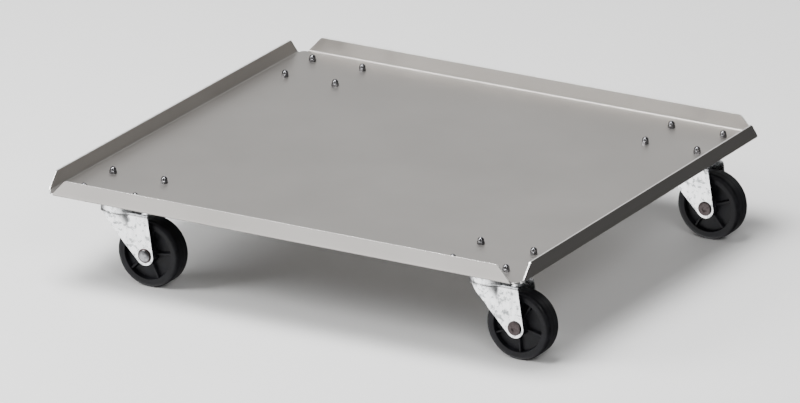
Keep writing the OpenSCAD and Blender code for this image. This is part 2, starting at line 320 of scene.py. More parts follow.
class Recipe:
    """Builds one node material, a step at a time."""

    def __init__(self, name: str) -> None:
        """Start a material of that name with an empty shader."""
        self.material = bpy.data.materials.new(name)
        self.material.use_nodes = True
        self.tree = self.material.node_tree
        self.tree.nodes.clear()
        self.shader = self.tree.nodes.new("ShaderNodeBsdfPrincipled")
        output = self.tree.nodes.new("ShaderNodeOutputMaterial")
        self.tree.links.new(self.shader.outputs["BSDF"], output.inputs["Surface"])
        self.place = self.tree.nodes.new("ShaderNodeTexCoord").outputs["Object"]

    def set(self, socket: str, value: float | Colour) -> None:
        """Set a constant straight on the shader's own socket."""
        self.shader.inputs[socket].default_value = (*value, 1.0) if isinstance(value, tuple) else value

    def join(self, source: bpy.types.NodeSocket, socket: str) -> None:
        """Link a pattern to one of the shader's sockets."""
        self.tree.links.new(source, self.shader.inputs[socket])

    def stretched(self, scale: Colour) -> bpy.types.NodeSocket:
        """The piece's own coordinates, scaled along each axis.

        Args:
            scale: Scale along X, Y and Z.

        Returns:
            The scaled coordinates.
        """
        mapping = self.tree.nodes.new("ShaderNodeMapping")
        mapping.inputs["Scale"].default_value = scale
        self.tree.links.new(self.place, mapping.inputs["Vector"])
        return mapping.outputs["Vector"]

    def noise(
        self, scale: float, detail: float = 2.0, rough: float = 0.5, stretch: Colour | None = None
    ) -> bpy.types.NodeSocket:
        """A cloud pattern.

        Args:
            scale: Features per metre.
            detail: Octaves of finer pattern.
            rough: Strength of each finer octave.
            stretch: Scale along each axis, where the pattern is drawn out.

        Returns:
            The pattern's value, about 0.5 on average.
        """
        node = self.tree.nodes.new("ShaderNodeTexNoise")
        node.inputs["Scale"].default_value = scale
        node.inputs["Detail"].default_value = detail
        node.inputs["Roughness"].default_value = rough
        self.tree.links.new(self.stretched(stretch) if stretch else self.place, node.inputs["Vector"])
        return node.outputs["Fac"]

    def ramp(self, value: bpy.types.NodeSocket, stops: list[tuple[float, Colour]]) -> bpy.types.NodeSocket:
        """Colours along a value.

        Args:
            value: The pattern that picks the colour.
            stops: Positions from 0 to 1, each with its colour.

        Returns:
            The colour.
        """
        node = self.tree.nodes.new("ShaderNodeValToRGB")
        points = node.color_ramp.elements
        while len(points) < len(stops):
            points.new(0.5)
        for point, (position, colour) in zip(points, stops):
            point.position = position
            point.color = (*colour, 1.0)
        self.tree.links.new(value, node.inputs["Fac"])
        return node.outputs["Color"]

    def spread(self, value: bpy.types.NodeSocket, low: float, high: float) -> bpy.types.NodeSocket:
        """Carry a pattern from its usual span, 0.3 to 0.7, to another span.

        Args:
            value: The pattern.
            low: What 0.3 becomes.
            high: What 0.7 becomes.

        Returns:
            The carried pattern.
        """
        node = self.tree.nodes.new("ShaderNodeMapRange")
        node.inputs["From Min"].default_value = 0.3
        node.inputs["From Max"].default_value = 0.7
        node.inputs["To Min"].default_value = low
        node.inputs["To Max"].default_value = high
        self.tree.links.new(value, node.inputs["Value"])
        return node.outputs["Result"]

    def mix(
        self, amount: bpy.types.NodeSocket, one: bpy.types.NodeSocket, other: bpy.types.NodeSocket
    ) -> bpy.types.NodeSocket:
        """Mix two colours.

        Args:
            amount: Share of the other colour, from 0 to 1.
            one: The first colour.
            other: The other colour.

        Returns:
            The mixed colour.
        """
        node = self.tree.nodes.new("ShaderNodeMix")
        node.data_type = "RGBA"
        self.tree.links.new(amount, node.inputs[0])
        self.tree.links.new(one, node.inputs[6])
        self.tree.links.new(other, node.inputs[7])
        return node.outputs[2]

    def relief(self, patterns: list[tuple[bpy.types.NodeSocket, float]]) -> None:
        """Raise the surface by patterns.

        Args:
            patterns: Patterns, each with its height in millimetres.
        """
        normal = None
        for value, height in patterns:
            bump = self.tree.nodes.new("ShaderNodeBump")
            bump.inputs["Distance"].default_value = height * MM
            bump.inputs["Strength"].default_value = 1.0
            self.tree.links.new(value, bump.inputs["Height"])
            if normal is not None:
                self.tree.links.new(normal, bump.inputs["Normal"])
            normal = bump.outputs["Normal"]
        self.join(normal, "Normal")


@dataclass(frozen=True)
class SheetSteel:
    """Cold-rolled sheet with a satin mill finish, faintly clouded and drawn along its rolling direction."""

    name: str = "satin_sheet_steel"
    light: Colour = (0.47, 0.453, 0.434)
    dark: Colour = (0.40, 0.383, 0.365)
    roughness: float = 0.46

    def material(self) -> bpy.types.Material:
        """The finish as a material."""
        recipe = Recipe(self.name)
        clouds = recipe.noise(7.0, detail=3.0)
        grain = recipe.noise(1.0, detail=4.0, rough=0.65, stretch=(28.0, 900.0, 900.0))
        speck = recipe.noise(650.0, detail=2.0)
        tone = recipe.ramp(clouds, [(0.3, self.dark), (0.7, self.light)])
        drawn = recipe.ramp(grain, [(0.3, self.dark), (0.7, self.light)])
        recipe.set("Metallic", 1.0)
        recipe.join(recipe.mix(recipe.spread(speck, 0.25, 0.55), tone, drawn), "Base Color")
        recipe.join(recipe.spread(grain, self.roughness - 0.05, self.roughness + 0.06), "Roughness")
        recipe.relief([(clouds, 0.25), (grain, 0.008), (speck, 0.006)])
        return recipe.material


@dataclass(frozen=True)
class ShearedEdgeWithHighlight:
    """Cut edge of the sheet: bare and a little streaked across its thickness; its colour is partly the
    cut's own lighter steel and partly a painted highlight along the lips' edges.
    """

    name: str = "sheared_sheet_edge"
    light: Colour = (0.95, 0.94, 0.92)
    dark: Colour = (0.74, 0.72, 0.70)
    roughness: float = 0.30

    def material(self) -> bpy.types.Material:
        """The finish as a material."""
        recipe = Recipe(self.name)
        streaks = recipe.noise(700.0, detail=3.0)
        recipe.set("Metallic", 1.0)
        recipe.join(recipe.ramp(streaks, [(0.32, self.dark), (0.5, self.light)]), "Base Color")
        recipe.join(recipe.spread(streaks, self.roughness + 0.1, self.roughness - 0.05), "Roughness")
        recipe.relief([(streaks, 0.03)])
        return recipe.material


@dataclass(frozen=True)
class ZincPlate:
    """Bright zinc plating on pressed steel: pale, a little mottled, with soft dents."""

    name: str = "bright_zinc_plate"
    light: Colour = (0.95, 0.96, 0.97)
    dark: Colour = (0.20, 0.215, 0.22)
    roughness: float = 0.27
    dents: float = 0.12

    def material(self) -> bpy.types.Material:
        """The finish as a material."""
        recipe = Recipe(self.name)
        blotch = recipe.noise(170.0, detail=5.0, rough=0.62)
        streak = recipe.noise(1.0, detail=3.0, stretch=(260.0, 260.0, 60.0))
        pores = recipe.noise(900.0, detail=3.0)
        tone = recipe.ramp(blotch, [(0.38, self.dark), (0.47, self.light), (1.0, self.light)])
        wash = recipe.ramp(streak, [(0.3, self.dark), (0.55, self.light)])
        recipe.set("Metallic", 1.0)
        recipe.join(recipe.mix(recipe.spread(pores, 0.15, 0.45), tone, wash), "Base Color")
        recipe.join(recipe.spread(blotch, self.roughness + 0.10, self.roughness - 0.06), "Roughness")
        recipe.relief([(blotch, self.dents), (pores, 0.008)])
        return recipe.material


@dataclass(frozen=True)
class BrightMetal:
    """Polished, plated metal with faint smudges and fine wipe marks."""

    name: str = "bright_plated_steel"
    colour: Colour = (0.21, 0.21, 0.22)
    smudge: Colour = (0.13, 0.13, 0.14)
    roughness: float = 0.11

    def material(self) -> bpy.types.Material:
        """The finish as a material."""
        recipe = Recipe(self.name)
        smudges = recipe.noise(260.0, detail=3.0)
        wipes = recipe.noise(1.0, detail=2.0, stretch=(2200.0, 700.0, 700.0))
        recipe.set("Metallic", 1.0)
        recipe.join(recipe.ramp(smudges, [(0.35, self.smudge), (0.55, self.colour)]), "Base Color")
        recipe.join(recipe.spread(smudges, self.roughness + 0.10, self.roughness), "Roughness")
        recipe.relief([(wipes, 0.003)])
        return recipe.material


@dataclass(frozen=True)
class WorkedSteelAndRimShade:
    """Bare, hammered or rolled-over steel end: dark, a little brown and matt; also laid on the rim of the
    rivet's domed head as painted shade.
    """

    name: str = "rolled_rivet_end"
    light: Colour = (0.10, 0.085, 0.085)
    dark: Colour = (0.030, 0.022, 0.023)
    roughness: float = 0.42

    def material(self) -> bpy.types.Material:
        """The finish as a material."""
        recipe = Recipe(self.name)
        hammer = recipe.noise(420.0, detail=4.0, rough=0.6)
        stain = recipe.noise(130.0, detail=2.0)
        tone = recipe.ramp(hammer, [(0.32, self.dark), (0.66, self.light)])
        shade = recipe.ramp(stain, [(0.35, self.dark), (0.7, self.light)])
        recipe.set("Metallic", 1.0)
        recipe.join(recipe.mix(recipe.spread(stain, 0.3, 0.5), tone, shade), "Base Color")
        recipe.join(recipe.spread(stain, self.roughness - 0.08, self.roughness + 0.12), "Roughness")
        recipe.relief([(hammer, 0.10)])
        return recipe.material


@dataclass(frozen=True)
class BlackPlastic:
    """Moulded black plastic with a satin skin that is greyer where it has scuffed."""

    name: str = "black_moulded_plastic"
    colour: Colour = (0.004, 0.004, 0.005)
    scuff: Colour = (0.013, 0.013, 0.016)
    roughness: float = 0.40

    def material(self) -> bpy.types.Material:
        """The finish as a material."""
        recipe = Recipe(self.name)
        flow = recipe.noise(60.0, detail=4.0, rough=0.6)
        skin = recipe.noise(1400.0, detail=2.0)
        recipe.set("Specular IOR Level", 0.16)
        recipe.join(recipe.ramp(flow, [(0.38, self.colour), (0.72, self.scuff)]), "Base Color")
        recipe.join(recipe.spread(flow, self.roughness - 0.05, self.roughness + 0.14), "Roughness")
        recipe.relief([(skin, 0.012), (flow, 0.05)])
        return recipe.material


@dataclass(frozen=True)
class Materials:
    """One material for each finish, made once and shared."""

    sheet: bpy.types.Material
    sheet_edge: bpy.types.Material
    zinc: bpy.types.Material
    dull_zinc: bpy.types.Material
    bright: bpy.types.Material
    rivet: bpy.types.Material
    rivet_end: bpy.types.Material
    plastic: bpy.types.Material

    @classmethod
    def make(cls) -> "Materials":
        """Build every finish."""
        dull = ZincPlate("dull_zinc_plate", (0.50, 0.50, 0.50), (0.30, 0.30, 0.30), 0.42, 0.05)
        return cls(
            sheet=SheetSteel().material(),
            sheet_edge=ShearedEdgeWithHighlight().material(),
            zinc=ZincPlate().material(),
            dull_zinc=dull.material(),
            bright=BrightMetal().material(),
            rivet=BrightMetal("bright_rivet_head", (0.24, 0.24, 0.25), (0.15, 0.15, 0.16), 0.14).material(),
            rivet_end=WorkedSteelAndRimShade().material(),
            plastic=BlackPlastic().material(),
        )


def dress(
    piece: bpy.types.Object, materials: list[bpy.types.Material], body: str, slot: str, *nodes: str
) -> None:
    """Give a finished piece its materials, its body and the nodes that it stands for.

    Args:
        piece: The object.
        materials: Its material slots, in order.
        body: The CAD body that it rides on.
        slot: The record's material slot; not used.
        nodes: The CAD nodes that it replaces.
    """
    for material in materials:
        piece.data.materials.append(material)
    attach(piece, body)
    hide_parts(*nodes)
    LOG.info("%s: %d vertices, rides on %s", piece.name, len(piece.data.vertices), body)


# ---------------------------------------------------------------------------------------------
# Tray
# ---------------------------------------------------------------------------------------------


@dataclass(frozen=True)
class Tray:
    """Square tray folded from one sheet: a flat floor and four lips with slanted ends."""

    length: float
    width: float
    lip: float
    sheet: float
    fold_r: float = 2.0
    foot_inset: float = 11.0
    top_inset: float = 28.0
    top_round: float = 1.6
    run_steps: int = 48
    fold_steps: int = 6
    wall_steps: int = 10
    corner_steps: int = 8
    floor_rings: int = 20

    @classmethod
    def from_frame(cls) -> "Tray":
        """Read the tray's sizes off the frame."""
        span = Span.of("tray")
        return cls(length=span.size[0], width=span.size[1], lip=span.high[2], sheet=-span.low[2])

    @property
    def fold_out(self) -> float:
        """Outside radius of a fold."""
        return self.fold_r + self.sheet

    def half_run(self, half: float, height: Array) -> Array:
        """Half of a lip's length at a height: straight at its foot, then slanted, then rounded off.

        Args:
            half: Half of the tray's length along the lip.
            height: Heights above the floor.

        Returns:
            Half lengths, one for each height.
        """
        foot, top = half - self.foot_inset, half - self.top_inset
        slant = foot + (top - foot) * np.clip(height / self.lip, 0.0, 1.0)
        rise = np.clip((height - self.lip + self.top_round) / self.top_round, 0.0, 1.0)
        return slant - self.top_round * (1.0 - np.sqrt(1.0 - rise * rise)) * 0.8

    def lip_grid(self, half: float, depth: float) -> Array:
        """Inner face of a front lip: a quarter turn at the fold's radius, then an upright wall.

        Args:
            half: Half of the tray's length along the lip.
            depth: Half of the tray's length across the lip.

        Returns:
            Points as (rows, columns, 3), from the floor upwards.
        """
        turn = np.linspace(0.0, math.pi / 2, self.fold_steps + 1)
        rise = ease(np.linspace(0.5, 1.0, self.wall_steps + 1)[1:]) * 2.0 - 1.0
        out = np.concatenate([self.fold_r * np.sin(turn), np.full(self.wall_steps, self.fold_r)])
        height = np.concatenate(
            [self.fold_r * (1.0 - np.cos(turn)), self.fold_r + rise * (self.lip - self.fold_r)]
        )
        along = np.linspace(-1.0, 1.0, self.run_steps + 1)
        x = self.half_run(half, height)[:, None] * along
        y = np.broadcast_to(-(depth - self.fold_out + out)[:, None], x.shape)
        return np.stack([x, y, np.broadcast_to(height[:, None], x.shape)], -1)

    def floor_outline(self) -> Array:
        """The floor's outline between the folds, anticlockwise, with a quarter round at each corner."""
        radius = self.foot_inset - self.fold_out
        half = np.array([self.length / 2 - self.fold_out, self.width / 2 - self.fold_out])
        turn = np.linspace(0.0, math.pi / 2, self.corner_steps + 1)[1:-1]
        parts = []
        for quarter in range(4):
            c, s = round(math.cos(quarter * math.pi / 2)), round(math.sin(quarter * math.pi / 2))
            side, deep = (half[0], half[1]) if quarter % 2 == 0 else (half[1], half[0])
            run = np.linspace(-(side - radius), side - radius, self.run_steps + 1)
            straight = np.stack([run, np.full_like(run, -deep)], -1)
            arc = np.stack(
                [side - radius + radius * np.sin(turn), -(deep - radius) - radius * np.cos(turn)], -1
            )
            local = np.concatenate([straight, arc])
            parts.append(local @ np.array([[c, s], [-s, c]], float))
        return np.concatenate(parts)

    def skin(self) -> Skin:
        """The tray's upper face: rings of the outline shrunk towards the middle, and four lips."""
        outline = self.floor_outline()
        scale = np.linspace(1.0, 0.0, self.floor_rings + 1)[:, None, None]
        flat = np.broadcast_to(outline[None], (self.floor_rings + 1, *outline.shape)) * scale
        floor = np.concatenate([flat, np.zeros((*flat.shape[:2], 1))], -1)
        skin = Skin().add(floor, wrap=True)
        for quarter in range(4):
            swap = quarter % 2 == 1
            half, depth = (self.width, self.length) if swap else (self.length, self.width)
            grid = self.lip_grid(half / 2, depth / 2)
            c, s = round(math.cos(quarter * math.pi / 2)), round(math.sin(quarter * math.pi / 2))
            turn = np.array([[c, s, 0], [-s, c, 0], [0, 0, 1]], float)
            skin.add(grid @ turn, flip=True)
        return skin

    def make(self, materials: Materials) -> None:
        """Build the tray and dress it."""
        piece = self.skin().build("folded_tray", np.zeros(3), closed=False)
        soften(piece)
        thicken(piece, self.sheet)
        # The sheet's cut edges take the sheared-edge finish, which is lighter than bare steel: partly a
        # painted highlight.
        piece.modifiers["wall"].material_offset_rim = 1
        round_edges(piece, 0.25)
        dress(piece, [materials.sheet, materials.sheet_edge], "root", "tray_sheet", "tray")


# ---------------------------------------------------------------------------------------------
# Turned parts and fasteners
# ---------------------------------------------------------------------------------------------


def turned(path: Array, steps: int = 64) -> Skin:
    """A closed turned part from a path of (radius, height) that starts and ends on itself or the axis."""
    return Skin().add(revolved(path, steps), wrap=True)


def ring_path(inner: float, outer: float, low: float, high: float, edge: float) -> Array:
    """Closed section of a ring, with its edges rounded.

    Args:
        inner: Inner radius.
        outer: Outer radius.
        low: Height of the lower face.
        high: Height of the upper face.
        edge: Radius of the outer edges; the inner edges have half of it.

    Returns:
        The path as rows of (radius, height), from the middle of the bore round to itself.
    """
    middle = (low + high) / 2
    return rounded_path(
        [
            (inner, middle, 0.0), (inner, high, edge / 2), (outer, high, edge), (outer, low, edge),
            (inner, low, edge / 2), (inner, middle, 0.0),
        ]
    )


@dataclass(frozen=True)
class Hexagon:
    """Six-sided head or nut whose corners are cut by a 30 degree chamfer cone."""

    across: float
    height: float
    steps: int = 72
    corner_round: float = 0.12
    face_share: float = 0.985
    chamfer_h: float = 0.55
    inset: float = 0.8

    def radius(self, turn: Array) -> Array:
        """Distance to the flats: half the width over the cosine from a flat's middle, corners blunted."""
        off = (turn + math.pi / 6) % (math.pi / 3) - math.pi / 6
        return np.minimum(self.across / 2 / np.cos(off), self.across / math.sqrt(3) - self.corner_round)

    def sides(self, chamfer_low: bool = False) -> Array:
        """Grid of the sides: the smaller of the hexagon and the chamfer cone at each height.

        Args:
            chamfer_low: Chamfer the lower end as well.

        Returns:
            Points as (rows, columns, 3), from the lower end upwards.
        """
        turn = np.linspace(0.0, 2 * math.pi, self.steps, endpoint=False)
        fine = np.linspace(0.0, self.chamfer_h, 7)
        plain = np.linspace(self.inset, self.height - self.inset, 4)
        height = np.concatenate([fine, plain, self.height - fine[::-1]])
        face_r = self.across / 2 * self.face_share
        cone = face_r + (self.height - height) * math.sqrt(3)
        if chamfer_low:
            cone = np.minimum(cone, face_r + height * math.sqrt(3))
        radius = np.minimum(self.radius(turn)[None], cone[:, None])
        z = np.broadcast_to(height[:, None], radius.shape)
        return np.stack([radius * np.cos(turn), radius * np.sin(turn), z], -1)


@dataclass(frozen=True)
class CapNut:
    """Cap nut: a chamfered hexagon under a dome, open underneath for its bolt."""

    across: float
    hexagon_h: float
    height: float
    bore_r: float
    shoulder: float = 0.2
    neck: float = 0.08
    mouth: float = 0.3
    dome_steps: int = 14

    def skin(self, turn: float) -> Skin:
        """The nut's skin, standing on the XY plane.

        Args:
            turn: How far the nut has been turned, in radians.

        Returns:
            The closed skin.
        """
        sides = Hexagon(self.across, self.hexagon_h).sides(chamfer_low=True)
        steps = sides.shape[1]
        dome_r = self.across / 2 - self.shoulder
        angle = np.linspace(0.0, math.pi / 2, self.dome_steps)
        centre = self.height - dome_r
        neck = [[dome_r + self.neck, self.hexagon_h], [dome_r, self.hexagon_h + self.neck]]
        dome = np.stack([dome_r * np.cos(angle), centre + dome_r * np.sin(angle)], -1)
        bore = [[0.0, self.hexagon_h], [self.bore_r, self.hexagon_h], [self.bore_r, self.mouth]]
        under = np.array([*bore, [self.bore_r + self.mouth, 0.0]])
        above = np.concatenate([neck, dome])
        grid = np.concatenate([revolved(under, steps), sides, revolved(above, steps)])
        c, s = math.cos(turn), math.sin(turn)
        return Skin().add(grid @ np.array([[c, s, 0], [-s, c, 0], [0, 0, 1]]), wrap=True)


# ---------------------------------------------------------------------------------------------
# Caster
# ---------------------------------------------------------------------------------------------


@dataclass(frozen=True)
class Wheel:
    """One-piece moulded wheel: a rounded tread, and a recess with radial ribs in each side."""

    radius: float
    width: float
    hub_half: float
    bore_r: float
    rib_angle: float
    edge_r: float = 5.0
    ridge_w: float = 5.2
    recess: float = 6.0
    hub_r: float = 11.5
    rib_count: int = 5
    rib_half: float = 1.5
    rib_step: float = 1.5
    draft: float = 1.3
    seam_depth: float = 0.1
    bore_chamfer: float = 0.4

    def columns(self) -> Array:
        """Angles of the grid's columns: close together at each rib and wider between ribs."""
        pitch = 2 * math.pi / self.rib_count
        near = math.radians(11.0)
        dense = np.linspace(-near, near, 30, endpoint=False)
        sparse = np.linspace(near, pitch - near, 16, endpoint=False)
        one = np.concatenate([dense, sparse])
        starts = math.radians(self.rib_angle) + pitch * np.arange(self.rib_count)
        return (starts[:, None] + one[None]).reshape(-1)

    def side_height(self, radius: Array, turn: Array) -> Array:
        """Distance of the side's skin from the wheel's middle plane.

        The hub stands highest, the recess lies lowest and the ridge by the tread stands between
        them, with smooth steps from one to the next; the ribs are the larger of that and a bar
        with drafted sides along each rib's line.

        Args:
            radius: Distances from the axle.
            turn: Angles round the axle, in radians.

        Returns:
            Distances, one for each point.
        """
        half = self.width / 2
        floor = half - self.recess
        recess_r = self.radius - self.edge_r - self.ridge_w
        hub = ease((self.hub_r - radius) / self.draft + 0.5) * (self.hub_half - floor)
        ridge = ease((radius - recess_r) / self.draft + 0.5) * (half - floor)
        over = np.clip((radius - self.radius + self.edge_r) / self.edge_r, 0.0, 1.0)
        shoulder = self.edge_r * (1.0 - np.sqrt(1.0 - over * over))
        plain = floor + hub + ridge - shoulder
        pitch = 2 * math.pi / self.rib_count
        off = (turn - math.radians(self.rib_angle) + pitch / 2) % pitch - pitch / 2
        bar = ease((self.rib_half + self.draft / 2 - np.abs(radius * np.sin(off))) / self.draft)
        inside = ease((self.radius - self.edge_r - radius) / self.draft)
        rib = floor + bar * inside * (self.recess - self.rib_step)
        return np.maximum(plain, rib)

    def rows(self) -> Array:
        """Radii of the side's rows, close together where the height changes."""
        recess_r = self.radius - self.edge_r - self.ridge_w
        shoulder = self.edge_r * np.sin(np.linspace(0.0, math.pi / 2, 9))
        return np.concatenate(
            [
                [self.bore_r], np.linspace(self.bore_r + 0.4, self.hub_r - 1.0, 4),
                np.linspace(self.hub_r - 0.7, self.hub_r + 0.8, 9),
                np.linspace(self.hub_r + 1.4, recess_r - 1.4, 14),
                np.linspace(recess_r - 0.8, recess_r + 0.8, 9),
                np.linspace(recess_r + 1.5, self.radius - self.edge_r - 0.4, 4),
                self.radius - self.edge_r + shoulder,
            ]
        )

    def skin(self) -> Skin:
        """The wheel's skin, with its axis along Z."""
        turn = self.columns()
        radius = np.broadcast_to(self.rows()[:, None], (len(self.rows()), len(turn)))
        height = self.side_height(radius, np.broadcast_to(turn[None], radius.shape))
        height = height - self.bore_chamfer * (radius <= self.bore_r)
        side = np.stack([radius * np.cos(turn), radius * np.sin(turn), height], -1)
        flat = self.width / 2 - self.edge_r
        beside = self.radius - self.seam_depth
        band = np.array(
            [
                [self.radius, flat * 0.6], [beside, flat * 0.1], [self.radius, 0.0],
                [beside, -flat * 0.1], [self.radius, -flat * 0.6],
            ]
        )
        tread = np.stack(
            [
                band[:, :1] * np.cos(turn), band[:, :1] * np.sin(turn),
                np.broadcast_to(band[:, 1:], (len(band), len(turn))),
            ],
            -1,
        )
        other = side[::-1] * np.array([1.0, 1.0, -1.0])
        bore = side[:1]
        return Skin().add(np.concatenate([side, tread, other, bore]), wrap=True)


@dataclass(frozen=True)
class Fork:
    """Pressed fork: a round crown, a web behind it and two legs that taper to a round foot.

    The swivel axis is at x = 0 and y = 0; heights are the frame's own.
    """

    leg_out: float
    crown_r: float
    crown_top: float
    race_top: float
    trail: float
    axle_z: float
    gauge: float = 2.2
    web_length: float = 30.0
    skirt: float = 4.0
    foot_r: float = 10.8
    foot_drop: float = 0.9
    knee_reach: float = 34.0
    knee_rise: float = 18.5
    rear_reach: float = 2.4
    bend_r: float = 3.0
    bulge_fall: float = 24.0
    race_wall: float = 2.5
    race_sunk: float = 0.6
    race_edge: float = 0.8
    leg_columns: int = 30

    @property
    def lead_x(self) -> float:
        """Where the legs' leading edge meets the round crown."""
        return -math.sqrt(self.crown_r**2 - self.leg_out**2)

    def tangent(self, point: tuple[float, float], side: float) -> tuple[float, float]:
        """Where a line from a point touches the foot's circle.

        The touching point lies off the point's own direction by the angle whose cosine is the
        circle's radius over the point's distance from its centre.

        Args:
            point: The point as (x, height).
            side: 1 or -1, for the two lines that touch.

        Returns:
            The touching point as (x, height).
        """
        foot = (self.trail, self.axle_z - self.foot_drop)
        dx, dz = point[0] - foot[0], point[1] - foot[1]
        angle = math.atan2(dz, dx) + side * math.acos(self.foot_r / math.hypot(dx, dz))
        return foot[0] + self.foot_r * math.cos(angle), foot[1] + self.foot_r * math.sin(angle)

    def edge_x(self, height: Array, rear: bool) -> Array:
        """Where an edge of the leg runs at each height: straight stretches, then the foot's circle.

        Args:
            height: Heights in the frame.
            rear: True for the rear edge, False for the leading one.

        Returns:
            The edge's X at each height.
        """
        foot_z = self.axle_z - self.foot_drop
        if rear:
            top = (self.trail + self.rear_reach, self.crown_top)
            stops = [self.tangent(top, -1.0), top]
        else:
            knee = (self.trail - self.knee_reach, self.axle_z + self.knee_rise)
            stops = [self.tangent(knee, 1.0), knee, (self.lead_x, self.crown_top)]
        straight = np.interp(height, [stop[1] for stop in stops], [stop[0] for stop in stops])
        reach = np.sqrt(np.maximum(self.foot_r**2 - (height - foot_z) ** 2, 0.0))
        circle = self.trail + (reach if rear else -reach)
        return np.where(height < stops[0][1], circle, straight)

    def outside_y(self, x: Array, height: Array) -> Array:
        """Distance of the leg's outer face from the middle plane.

        It is flat, but under the crown it swells to the crown's own circle, and the swelling
        fades smoothly to nothing further down.

        Args:
            x: Places along the leg.
            height: Heights in the frame.

        Returns:
            Distances, one for each point.
        """
        circle = np.sqrt(np.maximum(self.crown_r**2 - x**2, 0.0))
        fade = 1.0 - ease((self.crown_top - self.skirt - height) / self.bulge_fall)
        swell = np.maximum(circle - self.leg_out, 0.0) * fade
        return self.leg_out + np.where(x > self.lead_x - 0.01, swell, 0.0)

    def leg_heights(self) -> Array:
        """Heights of a leg's rows, from the bend down to the bottom of the foot."""
        start = self.crown_top - self.bend_r
        foot_z = self.axle_z - self.foot_drop
        upper = np.linspace(start, self.crown_top - self.skirt, 2)
        straight = np.linspace(self.crown_top - self.skirt, foot_z + 2.0, 26)[1:]
        round_off = foot_z - self.foot_r * np.sin(np.linspace(-0.19, math.pi / 2, 16)[1:])
        return np.concatenate([upper, straight, round_off])

    def leg_grid(self) -> Array:
        """Outer face of the front leg from the crown's bend to the foot."""
        height = self.leg_heights()[:, None]
        across = np.linspace(0.0, 1.0, self.leg_columns)[None]
        lead, rear = self.edge_x(height, rear=False), self.edge_x(height, rear=True)
        x = lead + (rear - lead) * across
        z = np.broadcast_to(height, x.shape)
        return np.stack([x, -self.outside_y(x, z), z], -1)

    def plan(self) -> Array:
        """Half of the crown's outline in plan: along the leg's top, then round the front to the middle."""
        across = np.linspace(1.0, 0.0, self.leg_columns)
        rear = self.trail + self.rear_reach
        x = self.lead_x + (rear - self.lead_x) * across
        top = np.full_like(x, self.crown_top - self.bend_r)
        leg = np.stack([x, -self.outside_y(x, top)], -1)
        start = math.atan2(-self.leg_out, self.lead_x) % (2 * math.pi)
        turn = np.linspace(start, math.pi, 13)[1:]
        front = np.stack([self.crown_r * np.cos(turn), self.crown_r * np.sin(turn)], -1)
        return np.concatenate([leg, front])

    def bend_grid(self) -> Array:
        """Bend round one half of the crown: its outline in plan, carried along a quarter round."""
        plan = self.plan()
        slope = np.gradient(plan, axis=0)
        slope[:12] = [-1.0, 0.0]
        inward = np.stack([slope[:, 1], -slope[:, 0]], -1)
        inward /= np.linalg.norm(inward, axis=1)[:, None]
        rows = []
        for angle in np.linspace(0.0, math.pi / 2, 6):
            shift = self.bend_r * (1.0 - math.cos(angle))
            height = self.crown_top - self.bend_r * (1.0 - math.sin(angle))
            ring = plan + inward * shift
            ring[-1, 1] = 0.0
            rows.append(np.concatenate([ring, np.full((len(ring), 1), height)], 1))
        return np.array(rows)

    def roof_grid(self) -> Array:
        """Flat roof of half the crown and web: the bend's last row, drawn in to the middle plane."""
        edge = self.bend_grid()[-1]
        roofed = edge[edge[:, 0] <= self.web_length]
        part = np.linspace(1.0, 0.0, 7)[:, None, None]
        return roofed[None] * np.concatenate([np.ones_like(part), part, np.ones_like(part)], -1)

    def skirt_grid(self) -> Array:
        """Short rim that turns down round the front of the crown."""
        front = self.plan()[self.leg_columns - 1 :]
        heights = np.linspace(self.crown_top - self.bend_r, self.crown_top - self.skirt, 2)
        return np.stack(
            [np.concatenate([front, np.full((len(front), 1), height)], 1) for height in heights]
        )

    def skin(self) -> Skin:
        """Outer face of the whole pressing, as two mirrored halves that meet at the middle plane."""
        skin = Skin()
        mirror = np.array([1.0, -1.0, 1.0])
        halves = (
            (self.leg_grid(), True),
            (self.bend_grid(), True),
            (self.roof_grid(), True),
            (self.skirt_grid(), False),
        )
        for grid, flip in halves:
            skin.add(grid, flip=flip)
            skin.add(grid * mirror, flip=not flip)
        return skin

    def race_skin(self) -> Skin:
        """Wall around the upper balls, standing on the crown."""
        inner, low = self.crown_r - self.race_wall, self.crown_top - self.race_sunk
        return turned(ring_path(inner, self.crown_r, low, self.race_top, self.race_edge), 72)


